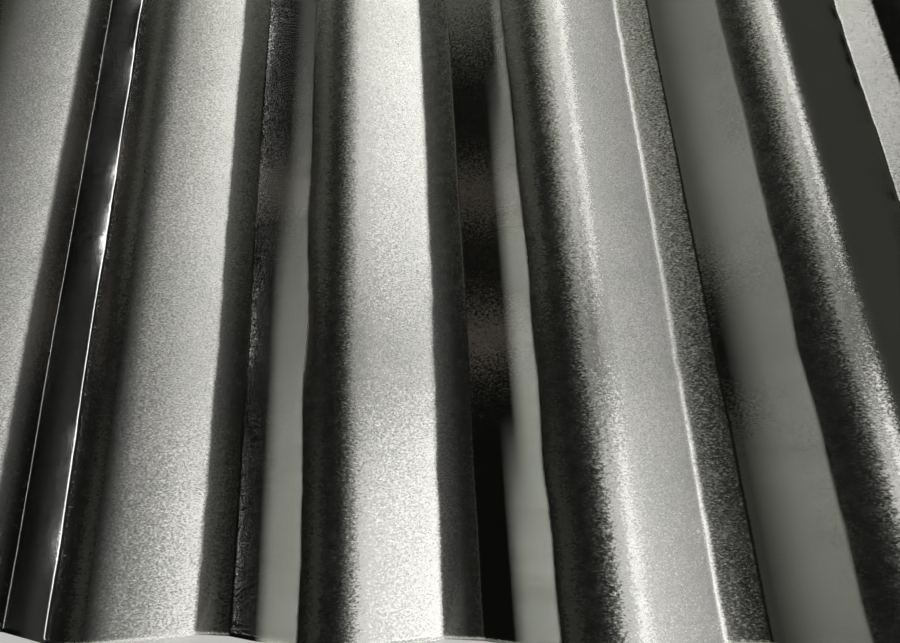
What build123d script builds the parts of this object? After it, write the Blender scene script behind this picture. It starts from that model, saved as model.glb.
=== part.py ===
from build123d import *

import math
import os

# A corrugated sheet: one roll-formed piece of zinc-coated steel, lying flat.
# The origin is the middle of the sheet, on the plane its valleys rest on.
# The flutes run along Y, and Z is up. All sizes are in millimetres.

# The wave, measured on the mid-line of the metal: rounded crests, straight
# flanks and flat valley floors with a tight bend on each side.
pitch = 67.7
depth = 12.7
crest_bend_radius = 19.0
floor_width = 10.2
floor_bend_radius = 4.0
metal_thickness = 0.5

# The sheet.
crest_count = 10
side_lip = 25.4
sheet_length = 1829.0


def flank_angle():
    """Slope of the straight flanks that gives the depth from floor to crest, in radians."""
    run = (pitch - floor_width) / 2
    rise = crest_bend_radius - depth
    return math.asin(crest_bend_radius / math.hypot(run, rise)) - math.atan2(rise, run)


def crest_corner_height(slope):
    """Height at which the mid-lines of a crest's two flanks would meet."""
    return metal_thickness / 2 + depth + crest_bend_radius * (1 / math.cos(slope) - 1)


def bends(slope, offset):
    """Corners and bend radii, from the first crest to the last, of the line at an offset above the mid-line."""
    crest_height = crest_corner_height(slope) + offset / math.cos(slope)
    half_floor = floor_width / 2 - offset * math.tan(slope / 2)
    floor_height = metal_thickness / 2 + offset
    corners = []
    radii = []
    for crest in range(crest_count):
        crest_x = (crest - (crest_count - 1) / 2) * pitch
        corners.append((crest_x, crest_height))
        radii.append(crest_bend_radius + offset)
        if crest < crest_count - 1:
            valley_x = crest_x + pitch / 2
            corners.append((valley_x - half_floor, floor_height))
            corners.append((valley_x + half_floor, floor_height))
            radii += [floor_bend_radius - offset] * 2
    return corners, radii


def lip_end(slope, offset, side):
    """End of that line at a cut side, down the flank past an outer crest: side is -1 or 1."""
    x = (crest_count - 1) / 2 * pitch + side_lip + offset * math.sin(slope)
    z = crest_corner_height(slope) - side_lip * math.tan(slope) + offset * math.cos(slope)
    return side * x, z


def skin_line(slope, offset):
    """One skin of the sheet, from its left cut side to its right one."""
    corners, radii = bends(slope, offset)
    return FilletPolyline(lip_end(slope, offset, -1), *corners, lip_end(slope, offset, 1), radius=radii)


def sheet_section():
    """The closed wave section: both skins and the two cut sides."""
    slope = flank_angle()
    top = skin_line(slope, metal_thickness / 2)
    underside = skin_line(slope, -metal_thickness / 2)
    cut_left = Line(underside @ 0, top @ 0)
    cut_right = Line(top @ 1, underside @ 1)
    return make_face(Curve() + [top, cut_right, underside, cut_left])


def corrugated_sheet():
    """The section carried along the flutes, equally to both sides of the origin."""
    section = Plane.XZ * sheet_section()
    return extrude(section, amount=sheet_length / 2, both=True)


os.makedirs("parts", exist_ok=True)
sheet = corrugated_sheet()
sheet.label = "corrugated_sheet"
export_step(sheet, "parts/corrugated_sheet.step")
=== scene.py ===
import math
from dataclasses import dataclass

import bpy
import numpy as np
from mathutils import Matrix, Vector, noise


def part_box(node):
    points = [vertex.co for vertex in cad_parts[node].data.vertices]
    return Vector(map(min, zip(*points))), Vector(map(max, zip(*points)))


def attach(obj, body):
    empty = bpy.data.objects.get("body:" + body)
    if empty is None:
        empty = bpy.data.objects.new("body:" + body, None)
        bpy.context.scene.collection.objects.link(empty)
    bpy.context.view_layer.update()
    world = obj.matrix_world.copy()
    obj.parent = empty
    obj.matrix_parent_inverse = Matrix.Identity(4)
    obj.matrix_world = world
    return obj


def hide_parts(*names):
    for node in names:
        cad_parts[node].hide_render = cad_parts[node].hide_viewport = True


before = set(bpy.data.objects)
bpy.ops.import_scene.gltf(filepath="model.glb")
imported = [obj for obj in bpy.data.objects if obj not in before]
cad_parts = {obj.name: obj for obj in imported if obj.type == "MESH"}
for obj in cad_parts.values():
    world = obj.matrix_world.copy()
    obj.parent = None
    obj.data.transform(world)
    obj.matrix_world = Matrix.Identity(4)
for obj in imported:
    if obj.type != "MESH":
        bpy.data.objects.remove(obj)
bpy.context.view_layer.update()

# A corrugated steel sheet lying flat, seen from close above its near end.
# All sizes are in metres, in the frame's axes: the flutes run along Y.

MM = 0.001
BODY = "root"
NODE = "corrugated_sheet"

# The wave. A place is a share of the pitch from the middle of a valley, and a slope is in degrees.
PITCH = 67.7 * MM
METAL = 0.5 * MM
SIDE_LIP = 25.4 * MM
CRESTS = 10
FLANK_SLOPE = 28.5
FLOOR_START = -0.083
FLOOR_END = 0.068
FLOOR_SLOPES = (3.0, 9.0)
FLOOR_DIP = 0.12 * MM
CORNER = 0.026
CREST_END = 0.650
WAVE_STEPS = 1600

# The crest's arc: where its top is, and how many degrees it turns in one pitch.
CREST_TOP = 0.492
CREST_TURN = 174.0

# The rub on the left-facing flanks: partly a dull rubbed finish, partly painted light. It is a matt share
# that only the low side light shows, so its start paints the edge of the shadow that the crest to its left
# casts, and its tones paint how brightly the flank is lit. It fades in to both sides of its start, changes
# tone between these two shares of the way to the crest, and fades out round the crest's start. Its tones are
# its strength once faded in and on both sides of that change.
SHADOW_EDGE_BLUR = 0.008
PAINTED_LIGHT_CHANGE = (0.28, 0.36)
PAINTED_LIGHT_TONES = (0.45, 0.52, 0.80)
PAINTED_LIGHT_END = (-0.004, 0.006)

# Where the painted shadow's edge leans, it climbs this share of a pitch for each metre along the sheet. This
# far from the near end it is at the wave's given leaning edge.
SHADOW_LEAN = 0.45
SHADOW_LEAN_START = 35 * MM

# The painted sheen: a matt share that only the sheen light shows, painting the reflection on the
# right-facing flanks and a highlight along the floor's start. Past the floor's start it fades: how far past,
# and how strong it is there. On the right-facing flank it rises between two places, and over the foot it
# falls to a share of its strength.
FLOOR_SHEEN = ((0.02, 0.15), (0.04, 0.10), (0.10, 0))
SHEEN_RISE = (0.56, 0.65)
FOOT_WIDTH = 0.02
FOOT_SHARE = 0.6

# The burnish. It fades in to both sides of the floor's end and fades out just past the crest's start.
# On the right-facing flank it rises between two places.
BURNISH_BLUR = 0.01
BURNISH_END = (0.004, 0.012)
BURNISH_RISE = (0.54, 0.60)

# How far the smoother line at a crest's first bend spreads to both sides.
CREASE_SPREAD = 0.010


@dataclass(frozen=True)
class Wave:
    """One wave as rolling left it, from the start of its floor to the start of the next one's.

    The right side is places and slopes, from the crest down to the foot of the right-facing flank. Starts
    and edges are places, the bend is half a width, and the other values are strengths from 0 to 1. The rub
    paints how brightly the side light falls on the left-facing flank, its start paints the edge of the
    crest's shadow, and the sheen paints the reflection on the right-facing flank. Where no leaning edge is
    given, the painted shadow's edge doesn't lean. Without a sheen_end the painted sheen falls over the foot
    as usual.
    """

    crest_start: float = 0.355
    crest_bend: float = CORNER / 4
    right_side: tuple = ((CREST_END, -FLANK_SLOPE),)
    rub_and_painted_light: float = 1.0
    painted_shadow_edge: float = 0.165
    leaning_shadow_edge: float | None = None
    left_burnish: float = 0.6
    right_burnish: float = 0.0
    floor_sheen: float = 0.22
    sheen_top: float = 0.4
    sheen_foot: float = 0.7
    sheen_end: float | None = None


# The waves that the camera sees differ a little, in their shape and in the light, shadow and sheen painted
# on them. They are numbered from the sheet's middle valley.
USUAL_WAVE = Wave()
SEEN_WAVES = {
    -3: Wave(
        crest_start=0.400,
        right_side=((0.55, -15), (0.70, -28), (0.90, -37)),
        sheen_top=0.30,
        sheen_foot=0.75,
    ),
    -2: Wave(
        crest_start=0.397,
        crest_bend=0.020,
        right_side=((0.64, -26), (0.70, -27), (0.90, -33)),
        rub_and_painted_light=0.08,
        painted_shadow_edge=0.205,
        left_burnish=1.0,
        sheen_top=0.32,
        sheen_foot=0.80,
    ),
    -1: Wave(
        crest_start=0.385,
        rub_and_painted_light=0.75,
        painted_shadow_edge=0.178,
        leaning_shadow_edge=0.222,
        sheen_top=0.40,
        sheen_foot=0.80,
    ),
    0: Wave(
        crest_start=0.330,
        rub_and_painted_light=0.85,
        painted_shadow_edge=0.172,
        leaning_shadow_edge=0.225,
        sheen_top=0.75,
        sheen_foot=0.45,
        sheen_end=0.9,
    ),
    1: Wave(
        crest_start=0.312,
        right_side=((0.44, 10), (0.56, -24), (0.90, -27)),
        rub_and_painted_light=0.55,
        painted_shadow_edge=0.122,
        right_burnish=1.0,
        floor_sheen=0.9,
        sheen_top=0.0,
        sheen_foot=0.0,
    ),
    2: Wave(rub_and_painted_light=0.1),
}
WAVE_NUMBERS = range(-CRESTS // 2 - 1, CRESTS // 2 + 2)

# The part of the sheet that the camera sees gets the closest facets. Past it each row is longer than the
# one before, up to a limit. A last row shorter than SHORTEST_LAST_ROW steps is joined to the one before it.
# On the underside, one row spans several of the top's.
SEEN_LEFT = -0.190
SEEN_RIGHT = 0.155
SEEN_LENGTH = 0.240
NEAR_ROW = 1.45 * MM
FAR_ROW = 60 * MM
ROW_GROWTH = 1.12
SHORTEST_LAST_ROW = 1.5
UNDERSIDE_STEP = 12

# Columns of points: beside each corner, in its widths, and then how many from end to end of the floor,
# the left-facing flank, the crest and the right-facing flank. None comes closer to a cut side than the gap.
FINE_CORNER = (-1.0, -0.65, -0.45, -0.3, -0.15, 0, 0.15, 0.3, 0.45, 0.65, 1.0)
COARSE_CORNER = (-0.5, 0.5)
FINE_COUNTS = (6, 6, 14, 6)
COARSE_COUNTS = (4, 3, 9, 3)
SIDE_GAP = 0.2 * MM

# A column strays with the nearest valley's wave, but the border between two waves is this share of a
# pitch to the left of halfway.
BORDER_SHIFT = 0.0385

# What rolling leaves in the shape. Each line of noise has a length for its bumps and a seed. The step
# and the layer only choose where in the noise the lines lie.
SCALLOP = (5.5 * MM, 0.5)
FINE_SCALLOP = (2.6 * MM, 40)
SWAY = (26 * MM, 80)
LONG_SWAY = (110 * MM, 120)
SEED_STEP = 7.31
NOISE_LAYER = 2.17

# How far the scallops and the sway make each corner stray, and how far to both sides that reaches. The
# long sway moves the whole wave alike.
FLOOR_START_STRAY = (0.30 * MM, 0.35 * MM)
CREST_START_STRAY = (0.15 * MM, 0.90 * MM)
FLOOR_END_STRAY = (0, 0.30 * MM)
LONG_STRAY = 0.40 * MM
FLOOR_REACH = 0.03
CREST_REACH = 0.05

# The ripples of the whole sheet: their size across it, along it and up.
RIPPLE_WIDTH = 45 * MM
RIPPLE_LENGTH = 70 * MM
RIPPLE_HEIGHT = 0.06 * MM
RIPPLE_LAYER = 0.7


def wave_at(number):
    """The wave of that number."""
    return SEEN_WAVES.get(number, USUAL_WAVE)


def sheet_box():
    """The node's lowest and highest corner."""
    return [Vector(corner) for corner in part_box(NODE)]


def bell(x, centre, width):
    """1 at the centre, falling off to both sides."""
    return np.exp(-(((x - centre) / width) ** 2))


def read_off(knots, places):
    """Values at the places, on straight lines between the knots."""
    return np.interp(places, *zip(*knots))


# The section.
def slope_knots(wave):
    """Place and slope, rising to the right, along one wave."""
    floor_start, floor_end = FLOOR_SLOPES
    foot = wave.right_side[-1][1]
    crest_slope = min(FLANK_SLOPE, (CREST_TOP - wave.crest_start) * CREST_TURN)
    return [
        (FLOOR_START, (floor_start - FLANK_SLOPE) / 2),
        (FLOOR_START + CORNER / 2, floor_start),
        (FLOOR_END - CORNER / 4, floor_end),
        (FLOOR_END + CORNER / 4, FLANK_SLOPE),
        (wave.crest_start - wave.crest_bend, FLANK_SLOPE),
        (wave.crest_start + wave.crest_bend, crest_slope),
        *wave.right_side,
        (1 + FLOOR_START - CORNER / 2, foot),
        (1 + FLOOR_START, (floor_start + foot) / 2),
    ]


def wave_line(wave, depth):
    """The mid-line along one wave, as places and heights above the lowest floor."""
    knots = slope_knots(wave)
    places = np.linspace(knots[0][0], knots[-1][0], WAVE_STEPS)
    slopes = np.tan(np.radians(read_off(knots, places)))
    rises = np.concatenate([[0], np.cumsum((slopes[1:] + slopes[:-1]) / 2)])
    rises -= np.linspace(0, rises[-1], WAVE_STEPS)
    return places, FLOOR_DIP + rises * (depth - FLOOR_DIP) / rises.max()


def rub_and_painted_light_knots(wave):
    """Place and strength of the rub on the left-facing flank: a dull finish whose start paints the crest's
    shadow edge and whose strength paints how brightly the side light falls.
    """
    long = wave.crest_start - wave.painted_shadow_edge
    low_change, high_change = PAINTED_LIGHT_CHANGE
    low_tone, middle_tone, high_tone = PAINTED_LIGHT_TONES
    fade_start, fade_end = PAINTED_LIGHT_END
    return [
        (wave.painted_shadow_edge - SHADOW_EDGE_BLUR, 0),
        (wave.painted_shadow_edge + SHADOW_EDGE_BLUR, low_tone * wave.rub_and_painted_light),
        (wave.painted_shadow_edge + low_change * long, middle_tone * wave.rub_and_painted_light),
        (wave.painted_shadow_edge + high_change * long, high_tone * wave.rub_and_painted_light),
        (wave.crest_start + fade_start, wave.rub_and_painted_light),
        (wave.crest_start + fade_end, 0),
    ]


def painted_sheen_knots(wave):
    """Place and strength of the painted sheen: a painted highlight on the floor's edge and a painted
    reflection on the right-facing flank.
    """
    rise_start, rise_end = SHEEN_RISE
    end = FOOT_SHARE * wave.sheen_foot if wave.sheen_end is None else wave.sheen_end
    return [
        (FLOOR_START, wave.floor_sheen),
        *((FLOOR_START + past, strength) for past, strength in FLOOR_SHEEN),
        (rise_start, 0),
        (rise_end, wave.sheen_top),
        (1 + FLOOR_START - FOOT_WIDTH, wave.sheen_foot),
        (1 + FLOOR_START, end),
    ]


def burnish_knots(wave):
    """Place and strength of the burnish that leaves a flank without grain."""
    fade_start, fade_end = BURNISH_END
    rise_start, rise_end = BURNISH_RISE
    return [
        (FLOOR_END - BURNISH_BLUR, 0),
        (FLOOR_END + BURNISH_BLUR, wave.left_burnish),
        (wave.crest_start + fade_start, wave.left_burnish),
        (wave.crest_start + fade_end, 0),
        (rise_start, 0),
        (rise_end, wave.right_burnish),
        (1 + FLOOR_START, wave.right_burnish),
    ]


def section_table(depth):
    """The mid-line across the whole sheet: places, heights and the strength of each trait of the finish and
    of its painted light.
    """
    places = []
    heights = []
    traits = {"rub_and_painted_light": [], "painted_sheen": [], "burnish": [], "crease": []}
    for number in WAVE_NUMBERS:
        wave = wave_at(number)
        wave_places, wave_heights = wave_line(wave, depth)
        wave_places = wave_places[:-1]
        places.append(wave_places + number)
        heights.append(wave_heights[:-1])
        traits["rub_and_painted_light"].append(read_off(rub_and_painted_light_knots(wave), wave_places))
        traits["painted_sheen"].append(read_off(painted_sheen_knots(wave), wave_places))
        traits["burnish"].append(read_off(burnish_knots(wave), wave_places))
        traits["crease"].append(bell(wave_places, wave.crest_start, CREASE_SPREAD))
    traits = {name: np.concatenate(values) for name, values in traits.items()}
    return np.concatenate(places), METAL / 2 + np.concatenate(heights), traits


# The grid.
def column_shares(wave, fine):
    """Places round one wave where the mesh has a column of points."""
    beside = FINE_CORNER if fine else COARSE_CORNER
    floor, left_flank, crest, right_flank = FINE_COUNTS if fine else COARSE_COUNTS
    corners = (FLOOR_START, FLOOR_END, wave.crest_start)
    shares = [corner + CORNER * widths for corner in corners for widths in beside]
    shares += list(np.linspace(FLOOR_START, FLOOR_END, floor)[1:-1])
    shares += list(np.linspace(FLOOR_END, wave.crest_start, left_flank)[1:-1])
    shares += list(np.linspace(wave.crest_start, CREST_END, crest)[1:])
    shares += list(np.linspace(CREST_END, 1 + FLOOR_START, right_flank)[1:-1])
    return shares


def columns(half_width):
    """Places across the sheet, from its left cut side to its right one, to a hundredth of a millimetre."""
    xs = []
    for number in WAVE_NUMBERS:
        start = number * PITCH
        fine = SEEN_LEFT < start + PITCH and start < SEEN_RIGHT
        xs += [start + share * PITCH for share in column_shares(wave_at(number), fine)]
    inside = sorted({round(x, 5) for x in xs if abs(x) < half_width - SIDE_GAP})
    return np.array([-half_width, *inside, half_width])


def rows(near, far):
    """Places along the sheet: close together where the camera looks, then wider and wider."""
    ys = list(np.arange(near, near + SEEN_LENGTH, NEAR_ROW))
    step = NEAR_ROW
    while ys[-1] + step < far:
        step = min(step * ROW_GROWTH, FAR_ROW)
        ys.append(ys[-1] + step)
    if far - ys[-2] < step * SHORTEST_LAST_ROW:
        ys.pop()
    ys[-1] = far
    return np.array(ys)


# What rolling leaves in the shape.
def noise_line(ys, number, length, seed):
    """Smooth noise from about -1 to 1 at each row, with bumps of about that length, for one wave."""
    apart = (number + seed) * SEED_STEP
    return np.array([noise.noise(Vector((y * (1 / length), apart, NOISE_LAYER))) for y in ys])


def corner_drift(x, ys, number):
    """How far that wave's corners stray sideways at each row, for a column of points."""
    scallop = noise_line(ys, number, *SCALLOP) + noise_line(ys, number, *FINE_SCALLOP) / 2
    sway = noise_line(ys, number, *SWAY)
    drift = LONG_STRAY * noise_line(ys, number, *LONG_SWAY)
    corners = (
        (FLOOR_START, FLOOR_REACH, FLOOR_START_STRAY),
        (wave_at(number).crest_start, CREST_REACH, CREST_START_STRAY),
        (FLOOR_END, FLOOR_REACH, FLOOR_END_STRAY),
    )
    for place, reach, (scallop_stray, sway_stray) in corners:
        nearness = bell(x / PITCH - number, place, reach)
        drift += nearness * (scallop_stray * scallop + sway_stray * sway)
    return drift


def ripple(x, ys):
    """Slight rise and fall of the whole sheet at each row, for a column of points."""
    points = (Vector((x / RIPPLE_WIDTH, y / RIPPLE_LENGTH, RIPPLE_LAYER)) for y in ys)
    return RIPPLE_HEIGHT * np.array([noise.noise(point) for point in points])


def above_painted_shadow_edge(place, ys, number):
    """1 above the leaning edge of that wave's painted shadow, where its rub begins, and 0 below it, at each
    row.
    """
    edge = wave_at(number).leaning_shadow_edge + SHADOW_LEAN * (ys - ys[0] - SHADOW_LEAN_START)
    return np.clip((place - number - edge) / (2 * SHADOW_EDGE_BLUR) + 0.5, 0, 1)


def sheet_grid(xs, ys, depth):
    """Height of the mid-line at every row and column, and the finish's traits there."""
    places, mid_heights, mid_traits = section_table(depth)
    heights = np.zeros((len(ys), len(xs)))
    traits = {name: np.zeros((len(ys), len(xs))) for name in mid_traits}
    for j, x in enumerate(xs):
        number = round(x / PITCH + BORDER_SHIFT)
        seen = SEEN_LEFT - PITCH < x < SEEN_RIGHT + PITCH
        place = (x + (corner_drift(x, ys, number) if seen else 0)) / PITCH
        heights[:, j] = np.interp(place, places, mid_heights) + (ripple(x, ys) if seen else 0)
        for name, values in mid_traits.items():
            traits[name][:, j] = np.interp(place, places, values)
        # On some waves the painted shadow's edge leans, and the rub is cut off below it.
        if wave_at(number).leaning_shadow_edge is not None:
            traits["rub_and_painted_light"][:, j] *= above_painted_shadow_edge(place, ys, number)
    return np.clip(heights, METAL / 2, METAL / 2 + depth), traits


# The mesh. Points are numbered row by row, first the top's and then, from base on, the underside's.
def skin_points(xs, ys, middle, low, high):
    """Points of the top and of the underside, half the metal's thickness from the mid-line."""
    slope = np.arctan(np.gradient(middle, xs, axis=1))
    across = METAL / 2 * np.sin(slope)
    up = METAL / 2 * np.cos(slope)
    grid_x, grid_y = np.meshgrid(xs, ys)
    top_z = np.clip(middle + up, METAL, high.z)
    underside_z = np.clip(middle - up, low.z, high.z - METAL)
    top = np.stack([np.clip(grid_x - across, low.x, high.x), grid_y, top_z], axis=2)
    underside = np.stack([np.clip(grid_x + across, low.x, high.x), grid_y, underside_z], axis=2)
    return top, underside


def skin_faces(base, row_count, count, down=False):
    """Quads of one skin, facing up or down."""
    faces = []
    for i in range(row_count - 1):
        for j in range(count - 1):
            a = base + i * count + j
            around = (a + 1, a + count + 1, a + count)
            faces.append((a, *reversed(around)) if down else (a, *around))
    return faces


def end_faces(base, row_count, under_count, count):
    """Quads of the two cut ends."""
    far_top = (row_count - 1) * count
    far_under = base + (under_count - 1) * count
    faces = []
    for j in range(count - 1):
        faces.append((j, base + j, base + j + 1, j + 1))
        faces.append((far_top + j, far_top + j + 1, far_under + j + 1, far_under + j))
    return faces


def side_faces(base, under_rows, count):
    """Faces of the two cut sides, each from one step of the underside to several rows of the top."""
    last = count - 1
    faces = []
    for i in range(len(under_rows) - 1):
        span = range(under_rows[i], under_rows[i + 1] + 1)
        left = [row * count for row in span]
        right = [row * count + last for row in span]
        a = base + i * count
        faces.append((a + count, a, *left))
        faces.append((a + last, a + count + last, *reversed(right)))
    return faces


def build_mesh(name):
    """The whole sheet as one closed mesh: top, underside and four cut edges."""
    low, high = sheet_box()
    half_width = (CRESTS - 1) * PITCH / 2 + SIDE_LIP
    xs = columns(half_width)
    ys = rows(low.y, high.y)
    middle, traits = sheet_grid(xs, ys, high.z - low.z - METAL)
    top, underside = skin_points(xs, ys, middle, low, high)
    under_rows = [*range(0, len(ys) - 1, UNDERSIDE_STEP), len(ys) - 1]
    base = len(ys) * len(xs)
    skins = skin_faces(0, len(ys), len(xs)) + skin_faces(base, len(under_rows), len(xs), down=True)
    ends = end_faces(base, len(ys), len(under_rows), len(xs))
    sides = side_faces(base, under_rows, len(xs))

    mesh = bpy.data.meshes.new(name)
    points = np.concatenate([top.reshape(-1, 3), underside[under_rows].reshape(-1, 3)])
    mesh.from_pydata(points.tolist(), [], skins + ends + sides)
    smooth = [True] * len(skins) + [False] * (len(ends) + len(sides))
    mesh.polygons.foreach_set("use_smooth", smooth)
    for trait, values in traits.items():
        attribute = mesh.attributes.new(trait, "FLOAT", "POINT")
        attribute.data.foreach_set("value", np.concatenate([values.ravel(), values[under_rows].ravel()]))
    mesh.update()
    return mesh


# The finish.
class Nodes:
    """Short calls for the nodes of one material or of the world."""

    def __init__(self, owner, shader="Principled BSDF"):
        owner.use_nodes = True
        self.tree = owner.node_tree
        self.shader = self.tree.nodes[shader]

    def add(self, kind, inputs=(), **settings):
        """One node: an input is either linked or a fixed value."""
        node = self.tree.nodes.new(kind)
        for key, value in settings.items():
            setattr(node, key, value)
        for key, value in dict(inputs).items():
            if isinstance(value, bpy.types.NodeSocket):
                self.tree.links.new(value, node.inputs[key])
            else:
                node.inputs[key].default_value = value
        return node

    def math(self, operation, *values):
        return self.add("ShaderNodeMath", enumerate(values), operation=operation).outputs[0]

    def product(self, first, second):
        return self.math("MULTIPLY", first, second)

    def vector_math(self, operation, inputs):
        return self.add("ShaderNodeVectorMath", inputs, operation=operation).outputs[0]

    def noise(self, vector, scale, detail=2.0, roughness=0.5):
        inputs = {"Vector": vector, "Scale": scale, "Detail": detail, "Roughness": roughness}
        return self.add("ShaderNodeTexNoise", inputs).outputs["Fac"]

    def stretch(self, vector, scale):
        return self.add("ShaderNodeMapping", {"Vector": vector, "Scale": scale}).outputs[0]

    def ramp(self, value, low, high, to_low=0.0, to_high=1.0):
        inputs = {"Value": value, "From Min": low, "From Max": high, "To Min": to_low, "To Max": to_high}
        return self.add("ShaderNodeMapRange", inputs).outputs[0]

    def blend(self, share, first, second):
        """A colour between two others."""
        inputs = {0: share, 6: (*first, 1), 7: (*second, 1)}
        return self.add("ShaderNodeMix", inputs, data_type="RGBA").outputs[2]

    def bump(self, height, strength, distance):
        inputs = {"Height": height, "Strength": strength, "Distance": distance}
        return self.add("ShaderNodeBump", inputs).outputs[0]

    def attribute(self, name):
        return self.add("ShaderNodeAttribute", attribute_name=name).outputs["Fac"]

    def grain(self, vector, normal, strength):
        """Tilt the normal at random, grain by grain."""
        inputs = {"Vector": vector, "Scale": 1.0, "Detail": 1.0, "Roughness": 0.5}
        stray = self.add("ShaderNodeTexNoise", inputs).outputs["Color"]
        centred = self.vector_math("SUBTRACT", {0: stray, 1: (0.5, 0.5, 0.5)})
        scaled = self.vector_math("SCALE", {0: centred, 3: strength})
        tilt = self.vector_math("ADD", {0: scaled, 1: normal})
        return self.vector_math("NORMALIZE", {0: tilt})

    def set(self, name, value):
        """Link the shader's input, or give it a fixed value."""
        if isinstance(value, bpy.types.NodeSocket):
            self.tree.links.new(value, self.shader.inputs[name])
        else:
            self.shader.inputs[name].default_value = value


# Scales of the finish's patterns, in bumps for each metre, and the ranges over which they and the crease
# take effect.
GRAIN_SCALE = (1300, 2300, 1800)
ROLL_MARK_SCALE = (40, 900, 40)
PATCH_SCALE = 25
CLOUD_SCALE = 60
GLOSS_SCALE = 400
NOISE_RANGE = (0.3, 0.7)
PATCH_RANGE = (0.42, 0.62)
CREASE_RANGE = (0.2, 0.8)

# The roll marks: their depth, how strong they are between and in patches, what a rub adds to that, and
# the share that a burnish leaves of them.
ROLL_MARK_DEPTH = 0.06 * MM
ROLL_MARK_BUMP = 0.35
ROLL_MARK_STRENGTHS = (0.1, 0.5)
RUB_MARKS = 0.2
BURNISH_MARKS = 0.4

# The grain: how far it tilts the surface where plain and where burnished, and the share left at a crease.
GRAIN_TILTS = (0.34, 0.04)
CREASE_GRAIN = 0.15

# How far a rub and a sheen lower the finish's metallic share, from their faintest to their strongest spots.
# The matt share shows only the matt lights, and so carries the painted light and the painted sheen.
PAINTED_LIGHT_LOSSES = (0.19, 0.27)
PAINTED_SHEEN_LOSSES = (0.28, 0.52)

# The roughness, and the share of it left at a crease and under a burnish.
ROUGHNESSES = (0.23, 0.28)
CREASE_ROUGHNESS = 0.8
BURNISH_ROUGHNESS = 0.35

# The zinc's two tones, and the studio, which glows a little by itself.
ZINC_TONES = ((0.62, 0.63, 0.61), (0.70, 0.70, 0.68))
FLOOR_TONES = ((0.70, 0.69, 0.67), (0.76, 0.75, 0.73))
FLOOR_TONE_SCALE = 8
FLOOR_ROUGHNESS = 0.8
FLOOR_GLOW = (1.0, 0.98, 0.95, 1)
FLOOR_GLOW_STRENGTH = 0.5
BACKDROP_GLOW = (1.0, 0.99, 0.97, 1)
BACKDROP_GLOW_STRENGTH = 0.45
BLACK = (0, 0, 0, 1)


def zinc_material():
    """Zinc-coated steel: a fine grain, roll marks across the flutes, a slightly uneven tone, and a matt
    share that carries painted light and sheen.
    """
    material = bpy.data.materials.new("zinc_coated_steel_worked")
    n = Nodes(material)
    place = n.add("ShaderNodeTexCoord").outputs["Object"]
    rub_and_painted_light, crease, painted_sheen, burnish = (n.attribute(name) for name in ("rub_and_painted_light", "crease", "painted_sheen", "burnish"))
    grain_place = n.stretch(place, GRAIN_SCALE)

    marks = n.noise(n.stretch(place, ROLL_MARK_SCALE), 1.0, roughness=0.6)
    patches = n.ramp(n.noise(place, PATCH_SCALE), *PATCH_RANGE, *ROLL_MARK_STRENGTHS)
    mark_strength = n.math("ADD", patches, n.product(rub_and_painted_light, RUB_MARKS))
    mark_strength = n.product(mark_strength, n.ramp(burnish, 0, 1, 1, BURNISH_MARKS))
    rolled = n.bump(n.product(marks, mark_strength), ROLL_MARK_BUMP, ROLL_MARK_DEPTH)
    tilt = n.product(n.ramp(burnish, 0, 1, *GRAIN_TILTS), n.ramp(crease, *CREASE_RANGE, 1, CREASE_GRAIN))
    n.set("Normal", n.grain(grain_place, rolled, tilt))

    cloud = n.noise(place, CLOUD_SCALE, 3.0, 0.6)
    n.set("Base Color", n.blend(n.ramp(cloud, *NOISE_RANGE), *ZINC_TONES))

    speckle = n.noise(grain_place, 1.0, 1.0)
    # Painted light and sheen: where the rub and the sheen lower the metallic share, only the matt lights
    # show.
    painted_light_loss = n.product(rub_and_painted_light, n.ramp(marks, *NOISE_RANGE, *PAINTED_LIGHT_LOSSES))
    painted_sheen_loss = n.product(painted_sheen, n.ramp(speckle, *NOISE_RANGE, *PAINTED_SHEEN_LOSSES))
    n.set("Metallic", n.math("SUBTRACT", 1.0, n.math("ADD", painted_light_loss, painted_sheen_loss)))

    rough = n.ramp(n.noise(place, GLOSS_SCALE), *NOISE_RANGE, *ROUGHNESSES)
    at_crease = n.ramp(crease, *CREASE_RANGE, 1, CREASE_ROUGHNESS)
    under_burnish = n.ramp(burnish, 0, 1, 1, BURNISH_ROUGHNESS)
    n.set("Roughness", n.product(rough, n.product(at_crease, under_burnish)))
    return material


def floor_material():
    """Pale matt studio floor."""
    material = bpy.data.materials.new("pale_floor")
    n = Nodes(material)
    place = n.add("ShaderNodeTexCoord").outputs["Object"]
    n.set("Base Color", n.blend(n.noise(place, FLOOR_TONE_SCALE, 3.0), *FLOOR_TONES))
    n.set("Roughness", FLOOR_ROUGHNESS)
    n.set("Emission Color", FLOOR_GLOW)
    n.set("Emission Strength", FLOOR_GLOW_STRENGTH)
    material.cycles.emission_sampling = "NONE"
    return material


def backdrop_material():
    """Even pale backdrop, the same from everywhere."""
    material = bpy.data.materials.new("pale_backdrop")
    n = Nodes(material)
    n.set("Base Color", BLACK)
    n.set("Specular IOR Level", 0)
    n.set("Emission Color", BACKDROP_GLOW)
    n.set("Emission Strength", BACKDROP_GLOW_STRENGTH)
    material.cycles.emission_sampling = "NONE"
    return material


# The pieces.
STUDIO_SIZE = 12.0
STUDIO_HEIGHT = 5.0
FLOOR_BELOW = 0.05 * MM


def add_object(name, data):
    """An object of the scene with that mesh, camera or light."""
    piece = bpy.data.objects.new(name, data)
    bpy.context.scene.collection.objects.link(piece)
    return piece


def add_sheet():
    """The sheet, left out of mirror rays: its flanks would throw their painted light and sheen into the dark
    bands.
    """
    sheet = add_object("corrugated_sheet_worked", build_mesh("corrugated_sheet_worked"))
    sheet.data.materials.append(zinc_material())
    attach(sheet, BODY)
    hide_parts(NODE)
    sheet.visible_glossy = False
    bpy.data.collections.new("metal").objects.link(sheet)


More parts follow.
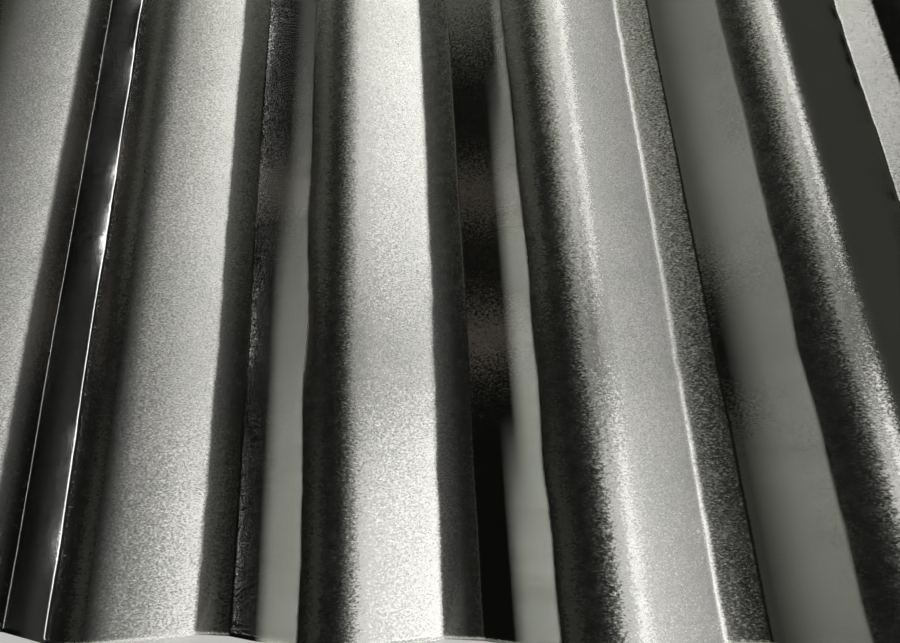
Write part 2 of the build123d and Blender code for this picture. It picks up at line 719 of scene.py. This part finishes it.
def studio_ring(z):
    """The studio's four corners at that height."""
    half = STUDIO_SIZE / 2
    return [(-half, -half, z), (half, -half, z), (half, half, z), (-half, half, z)]


def add_floor():
    """The floor, a hair below the sheet and not mirrored in it."""
    mesh = bpy.data.meshes.new("floor")
    mesh.from_pydata(studio_ring(-FLOOR_BELOW), [], [(0, 1, 2, 3)])
    floor = add_object("floor", mesh)
    mesh.materials.append(floor_material())
    floor.visible_glossy = False


def add_backdrop():
    """Walls and ceiling round the floor: seen directly, but neither mirrored nor lighting the metal."""
    mesh = bpy.data.meshes.new("backdrop")
    corners = studio_ring(-FLOOR_BELOW) + studio_ring(STUDIO_HEIGHT)
    walls = [(k, (k + 1) % 4, (k + 1) % 4 + 4, k + 4) for k in range(4)]
    mesh.from_pydata(corners, [], [*walls, (4, 5, 6, 7)])
    backdrop = add_object("backdrop", mesh)
    mesh.materials.append(backdrop_material())
    backdrop.visible_glossy = False
    backdrop.visible_diffuse = False
    backdrop.visible_shadow = False


# Camera: the place and turn that the flutes' lines and the cut end ask for.
FOCAL_PIXELS = 540
IMAGE_WIDTH = 900
AXIS_COLUMN = 390
SENSOR_MILLIMETRES = 36
NEAREST_SEEN = 0.01
FARTHEST_SEEN = 50
CAMERA_PLACE = (1.8 * MM, -877.0 * MM, 157.3 * MM)
CAMERA_TURN = (16.963, 7.645, -0.905)


def add_camera():
    """The photo's camera, with its axis left of the picture's middle."""
    data = bpy.data.cameras.new("camera")
    data.sensor_fit = "HORIZONTAL"
    data.sensor_width = SENSOR_MILLIMETRES
    data.lens = SENSOR_MILLIMETRES * FOCAL_PIXELS / IMAGE_WIDTH
    data.shift_x = (IMAGE_WIDTH / 2 - AXIS_COLUMN) / IMAGE_WIDTH
    data.clip_start = NEAREST_SEEN
    data.clip_end = FARTHEST_SEEN
    camera = add_object("camera", data)
    camera.location = CAMERA_PLACE
    camera.rotation_euler = [math.radians(angle) for angle in CAMERA_TURN]
    bpy.context.scene.camera = camera


# Lights. Right is the angle from straight up towards +X, and ahead the angle towards +Y, in degrees. They
# aim at the middle of the seen part, and the side light at its near end.
AIM = Vector((0.015, -0.82, 0.0))
SIDE_AIM = Vector((0.0, -0.89, 0.0))
BRIGHT_TINT = (1.0, 0.985, 0.95)
DIM_TINT = (1.0, 1.0, 0.86)
WARM_TINT = (1.0, 0.88, 0.75)
RUB_TINT = (0.97, 1.0, 0.88)
SHEEN_TINT = (1.0, 0.98, 0.96)
WHITE = (1, 1, 1)

# The windows: how bright each one's near, middle and far part is, by how far to the right it stands. A
# part brighter than TINT_CHANGE has the bright tint, and the others have the dim one.
TINT_CHANGE = 0.3
WINDOWS = {
    -28: (0.04, 0, 0.08),
    15: (0, 0, 0.15),
    25: (0.1, 0.35, 0.3),
    35: (1.1, 0, 0.9),
    45: (0.5, 0.1, 0.1),
    55: (1.9, 0.1, 1.75),
    65: (0.9, 0, 0),
}
WINDOW_PARTS = (("near", -20, 50), ("middle", 12, 14), ("far", 39, 40))
WINDOW_DISTANCE = 1.6
RIGHT_WINDOW_WIDTH = 10
LEFT_WINDOW_WIDTH = 14


def add_panel(name, right, ahead, distance, wide, long, brightness, colour, aim=AIM, matt=False, spread=180):
    """A rectangular light that faces the seen part. Its width and length are the angles it fills.

    It shows only in gloss or, if matt, lights only the matt share of the metal's finish.
    """
    across = math.radians(right)
    along = math.radians(ahead)
    level = math.cos(along)
    out = Vector((math.sin(across) * level, math.sin(along), math.cos(across) * level))
    side = Vector((math.cos(across), 0, -math.sin(across)))
    turn = Matrix((side, out.cross(side), out)).transposed().to_4x4()
    data = bpy.data.lights.new(name, "AREA")
    data.shape = "RECTANGLE"
    data.size = 2 * distance * math.tan(math.radians(wide / 2))
    data.size_y = 2 * distance * math.tan(math.radians(long / 2))
    data.energy = brightness * math.pi * data.size * data.size_y
    data.color = colour
    data.spread = math.radians(spread)
    light = add_object(name, data)
    light.matrix_world = Matrix.Translation(aim + out * distance) @ turn
    light.visible_camera = False
    light.visible_glossy = not matt
    light.visible_diffuse = matt
    if matt:
        light.light_linking.receiver_collection = bpy.data.collections["metal"]


def add_window(right, brightnesses):
    """One window, in up to three parts along the flutes."""
    wide = RIGHT_WINDOW_WIDTH if right > 0 else LEFT_WINDOW_WIDTH
    for (part, ahead, long), brightness in zip(WINDOW_PARTS, brightnesses):
        if brightness:
            tint = BRIGHT_TINT if brightness > TINT_CHANGE else DIM_TINT
            add_panel(f"window_{right}_{part}", right, ahead, WINDOW_DISTANCE, wide, long, brightness, tint)


def add_lights():
    """All panels: the windows, low lights from the left and from the near end, and dim ones beyond."""
    for right, brightnesses in WINDOWS.items():
        add_window(right, brightnesses)

    # Low on the left: a strip for the first bend of a crest, and faint spots for the left-facing flanks.
    add_panel("side_strip", -85, 15, distance=2.0, wide=3, long=80, brightness=2.6, colour=WHITE)
    add_panel("side_spots_far", -62, 31, distance=1.6, wide=30, long=3, brightness=0.1, colour=WARM_TINT)
    add_panel(
        "side_spots_near", -53, 14.5,
        distance=1.6, wide=14, long=4.5, brightness=0.1, colour=WARM_TINT,
    )

    # Low towards the near end, clear of the mirrored directions: the matt lights that show the painted light
    # on the rub and the painted sheen.
    add_panel(
        "side_light", -70, -40,
        distance=1.2, wide=6, long=7, brightness=6.6, colour=RUB_TINT, aim=SIDE_AIM, matt=True, spread=14,
    )
    add_panel(
        "sheen_light", 55, -45,
        distance=2.0, wide=12, long=30, brightness=85, colour=SHEEN_TINT, matt=True,
    )

    # Dim panels beyond both ends and low on the right.
    add_panel("far_panel", 0, 70, distance=2.5, wide=70, long=24, brightness=0.12, colour=DIM_TINT)
    add_panel("near_panel", 0, -68, distance=2.5, wide=70, long=24, brightness=0.3, colour=DIM_TINT)
    add_panel("right_panel", 83, 25, distance=2.0, wide=16, long=60, brightness=0.04, colour=DIM_TINT)


# The room: how bright it is over the sheet and towards the sheet's two ends, and where that changes.
ROOM_COLOUR = (0.95, 1.0, 0.9, 1)
ROOM_BRIGHTNESS = (0.004, 0.35)
ROOM_CHANGE = (0.80, 0.95)


def add_world():
    """A dim room that gets light towards the two ends of the sheet."""
    world = bpy.data.worlds.new("studio")
    n = Nodes(world, "Background")
    direction = n.add("ShaderNodeTexCoord").outputs["Generated"]
    along = n.math("ABSOLUTE", n.add("ShaderNodeSeparateXYZ", {0: direction}).outputs["Y"])
    n.set("Strength", n.ramp(along, *ROOM_CHANGE, *ROOM_BRIGHTNESS))
    n.set("Color", ROOM_COLOUR)
    bpy.context.scene.world = world


def main():
    add_sheet()
    add_floor()
    add_backdrop()
    add_camera()
    add_lights()
    add_world()
    bpy.context.scene.view_settings.view_transform = "Standard"


main()
